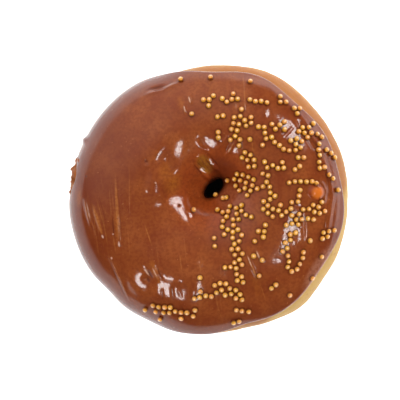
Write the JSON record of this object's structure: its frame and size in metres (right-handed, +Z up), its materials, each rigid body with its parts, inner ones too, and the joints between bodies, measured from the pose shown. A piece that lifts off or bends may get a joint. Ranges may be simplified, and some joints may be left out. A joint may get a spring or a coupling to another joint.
{
  "type": "ring doughnut",
  "caption": "Round fried-dough ring with glossy caramel icing over its top and small round sprinkles on one side, with a small hole through its middle.",
  "frame": {"origin": "on the resting surface, under the middle of the doughnut's bounding box", "axes": "+X to the picture's right, towards the side with sprinkles; +Y to the picture's top; +Z up, out of the iced top"},
  "size_m": [0.0914, 0.0881, 0.0353],
  "materials": {
    "crust": "golden-brown fried dough, satin",
    "icing": "caramel-brown sugar icing, glossy",
    "pearls": "mustard-gold sugar pearls, satin with a pale highlight"
  },
  "bodies": {
    "root": {"dough": "crust", "icing": "icing"}
  },
  "joints": []
}
